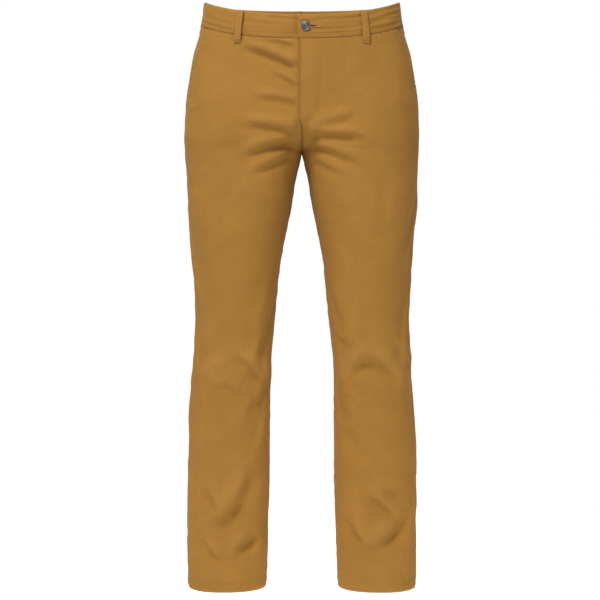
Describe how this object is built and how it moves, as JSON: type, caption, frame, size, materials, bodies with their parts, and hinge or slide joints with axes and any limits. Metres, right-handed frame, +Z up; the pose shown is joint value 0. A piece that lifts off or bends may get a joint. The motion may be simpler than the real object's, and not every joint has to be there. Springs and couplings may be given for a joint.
{
  "type": "trousers",
  "caption": "Straight-leg cotton twill trousers with a button and zip fly, slanted front pockets and belt loops, filled out as worn.",
  "frame": {"origin": "top edge of the waistband at the centre front, on the mid plane between front and back", "axes": "+Z up, front faces -Y, +X towards the wearer's left"},
  "size_m": [0.4312, 0.2185, 1.076],
  "materials": {
    "twill": "cotton twill, matt",
    "lining": "plain cotton",
    "zip_tape": "woven tape",
    "zip_metal": "satin",
    "button_metal": "dark satin"
  },
  "bodies": {
    "trousers": {"front_panel_left": "twill", "front_panel_right": "twill", "back_panel_left": "twill", "back_panel_right": "twill", "waistband_left": "twill", "waistband_right": "twill", "waistband_underlap": "twill", "fly_shield": "twill", "pocket_facing_left": "twill", "pocket_facing_right": "twill", "back_pocket_welt_left": "twill", "back_pocket_welt_right": "twill", "belt_loop_front_left": "twill", "belt_loop_front_right": "twill", "belt_loop_side_left": "twill", "belt_loop_side_right": "twill", "belt_loop_back_left": "twill", "belt_loop_back_right": "twill", "belt_loop_centre_back": "twill", "waistband_lining_left": "lining", "waistband_lining_right": "lining", "pocket_bag_left": "lining", "pocket_bag_right": "lining", "back_pocket_bag_left": "lining", "back_pocket_bag_right": "lining", "zip_tape_right": "zip_tape", "zip_teeth_right": "zip_metal", "zip_top_stop_right": "zip_metal", "zip_bottom_stop": "zip_metal", "waist_button_tack": "button_metal"},
    "slider": {"zip_slider": "zip_metal"},
    "pull": {"zip_pull": "zip_metal"},
    "fly_front": {"waistband_tab": "twill", "fly_flap": "twill", "fly_facing": "twill", "zip_tape_left": "zip_tape", "zip_teeth_left": "zip_metal", "zip_top_stop_left": "zip_metal"},
    "button": {"waist_button_head": "button_metal"}
  },
  "joints": [
    {"name": "zip_slide", "type": "slide", "parent": "trousers", "child": "slider", "axis": [0, 0, -1], "range_m": [0, 0.113], "deforming": ["zip_teeth_right"]},
    {"name": "zip_pull_swing", "type": "hinge", "parent": "slider", "child": "pull", "pos_m": [0.007, -0.08855, -0.05405], "axis": [-1, 0, 0], "range_deg": [0, 12]},
    {"name": "fly_open", "type": "hinge", "parent": "trousers", "child": "fly_front", "pos_m": [0.0215, -0.0995, -0.0985], "axis": [0.2414, 0, 0.9704], "range_deg": [0, 60], "deforming": ["waistband_tab", "fly_facing", "zip_tape_left", "zip_teeth_left"]},
    {"name": "waist_button_turn", "type": "hinge", "parent": "trousers", "child": "button", "pos_m": [0.007, -0.0955, -0.0205], "axis": [0, -1, 0], "continuous": true}
  ]
}
